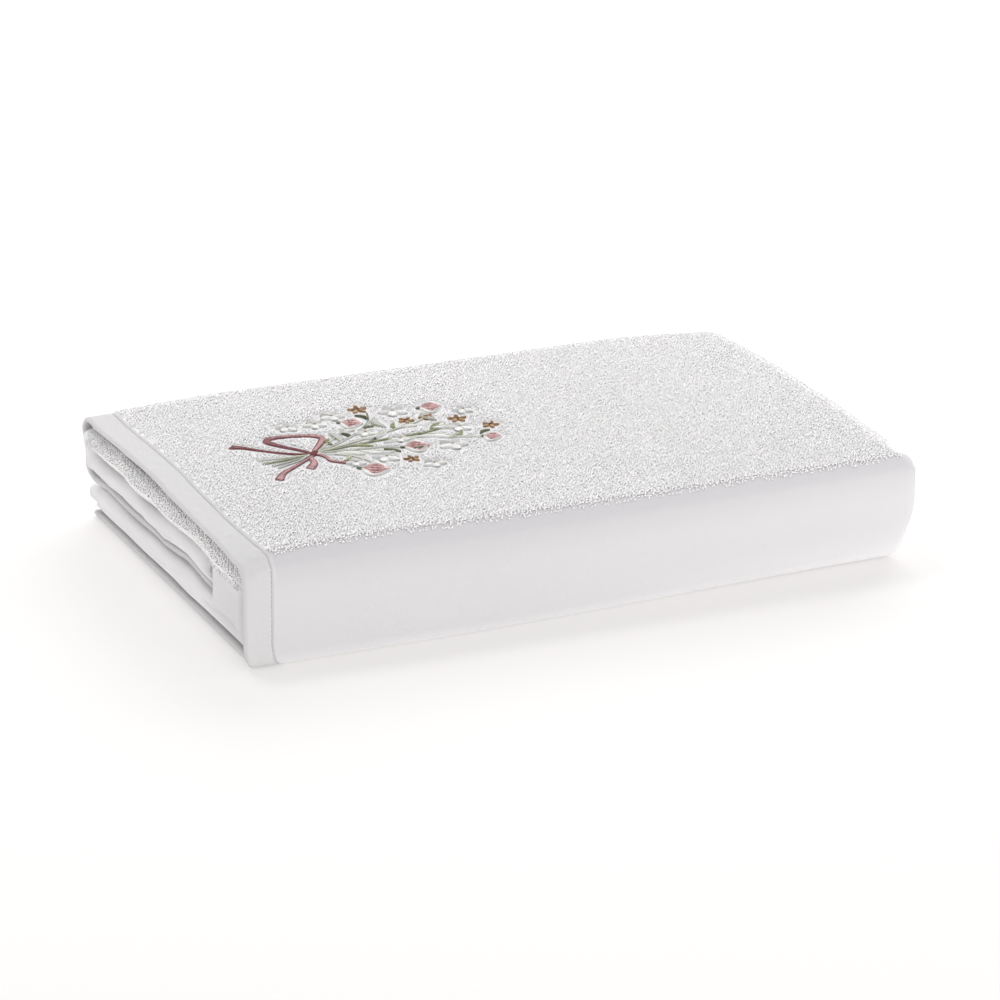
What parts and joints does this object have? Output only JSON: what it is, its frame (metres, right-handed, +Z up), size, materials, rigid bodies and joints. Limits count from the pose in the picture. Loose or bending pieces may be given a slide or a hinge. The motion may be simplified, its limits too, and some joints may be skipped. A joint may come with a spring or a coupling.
{
  "type": "folded bath towel",
  "caption": "Terry bath towel folded in quarters along its length and in thirds across its width, lying flat with its hem at one end.",
  "frame": {"origin": "middle of the underside, on the surface that the towel lies on", "axes": "+X along the pack's long side, away from the hems; +Y across it, away from the front fold; +Z up"},
  "size_m": [0.38, 0.2464, 0.0613],
  "materials": {
    "terry": "white looped cotton pile, matt",
    "hem": "white flat-woven cotton band, matt",
    "thread": "coloured embroidery thread, soft sheen"
  },
  "bodies": {
    "root": {"towel": "terry"}
  },
  "joints": []
}
